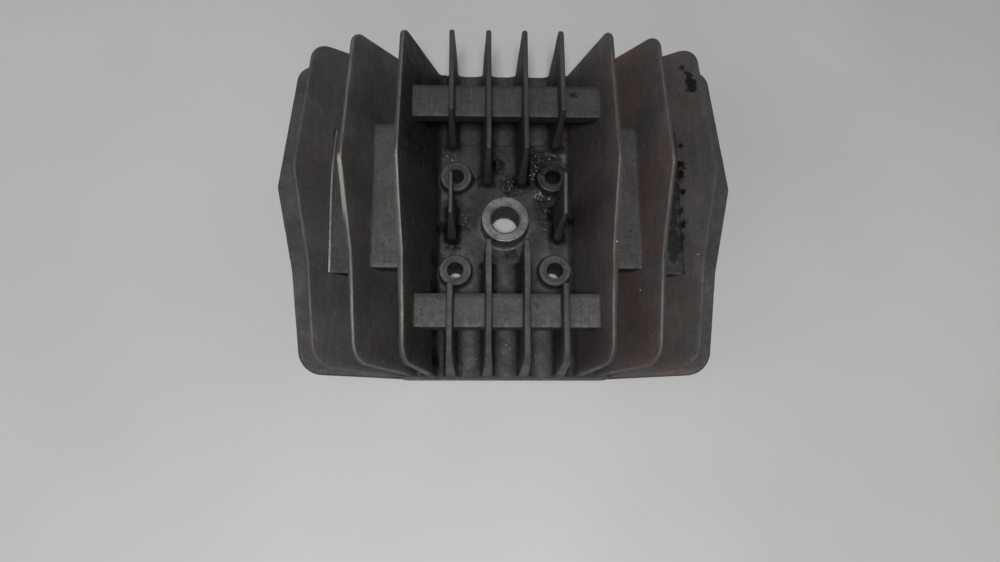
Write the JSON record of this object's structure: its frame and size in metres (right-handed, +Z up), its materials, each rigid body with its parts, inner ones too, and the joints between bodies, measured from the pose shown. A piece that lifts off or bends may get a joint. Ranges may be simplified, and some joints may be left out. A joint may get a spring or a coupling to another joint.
{
  "type": "cylinder head",
  "caption": "Air-cooled two-stroke cylinder head with fan-spread cooling fins, damping webs between the fins, stud bosses at the corners of a square and a central spark plug hole.",
  "frame": {"origin": "on the spark plug's axis, in the plane of the gasket face", "axes": "+Z up out of the spark plug hole, away from the cylinder; +X across the fins; +Y along the fins, towards the end that lies further from the plug"},
  "size_m": [0.2256, 0.1621, 0.0653],
  "materials": {
    "cast_base": "sand-cast grey, oily and sooted in the hollows",
    "cast_fin": "dark heat-stained casting with bare worn edges",
    "cast_web": "paler, scuffed casting",
    "machined_seat": "faced and turned, dull bright"
  },
  "bodies": {
    "root": {"base_plate": "cast_base", "fin_left_1_far": "cast_fin", "fin_left_1_near": "cast_fin", "fin_left_2_far": "cast_fin", "fin_left_2_middle": "cast_fin", "fin_left_2_near": "cast_fin", "fin_left_3": "cast_fin", "fin_left_4": "cast_fin", "fin_left_5": "cast_fin", "fin_left_6": "cast_fin", "fin_right_1_far": "cast_fin", "fin_right_1_near": "cast_fin", "fin_right_2_far": "cast_fin", "fin_right_2_middle": "cast_fin", "fin_right_2_near": "cast_fin", "fin_right_3": "cast_fin", "fin_right_4": "cast_fin", "fin_right_5": "cast_fin", "fin_right_6": "cast_fin", "plug_seat": "machined_seat", "web_far_centre": "cast_web", "web_far_left_1_2": "cast_web", "web_far_left_2_3": "cast_web", "web_far_right_1_2": "cast_web", "web_far_right_2_3": "cast_web", "web_left_3_4": "cast_web", "web_left_4_5": "cast_web", "web_near_centre": "cast_web", "web_near_left_1_2": "cast_web", "web_near_left_2_3": "cast_web", "web_near_right_1_2": "cast_web", "web_near_right_2_3": "cast_web", "web_right_3_4": "cast_web", "web_right_4_5": "cast_web"}
  },
  "joints": []
}
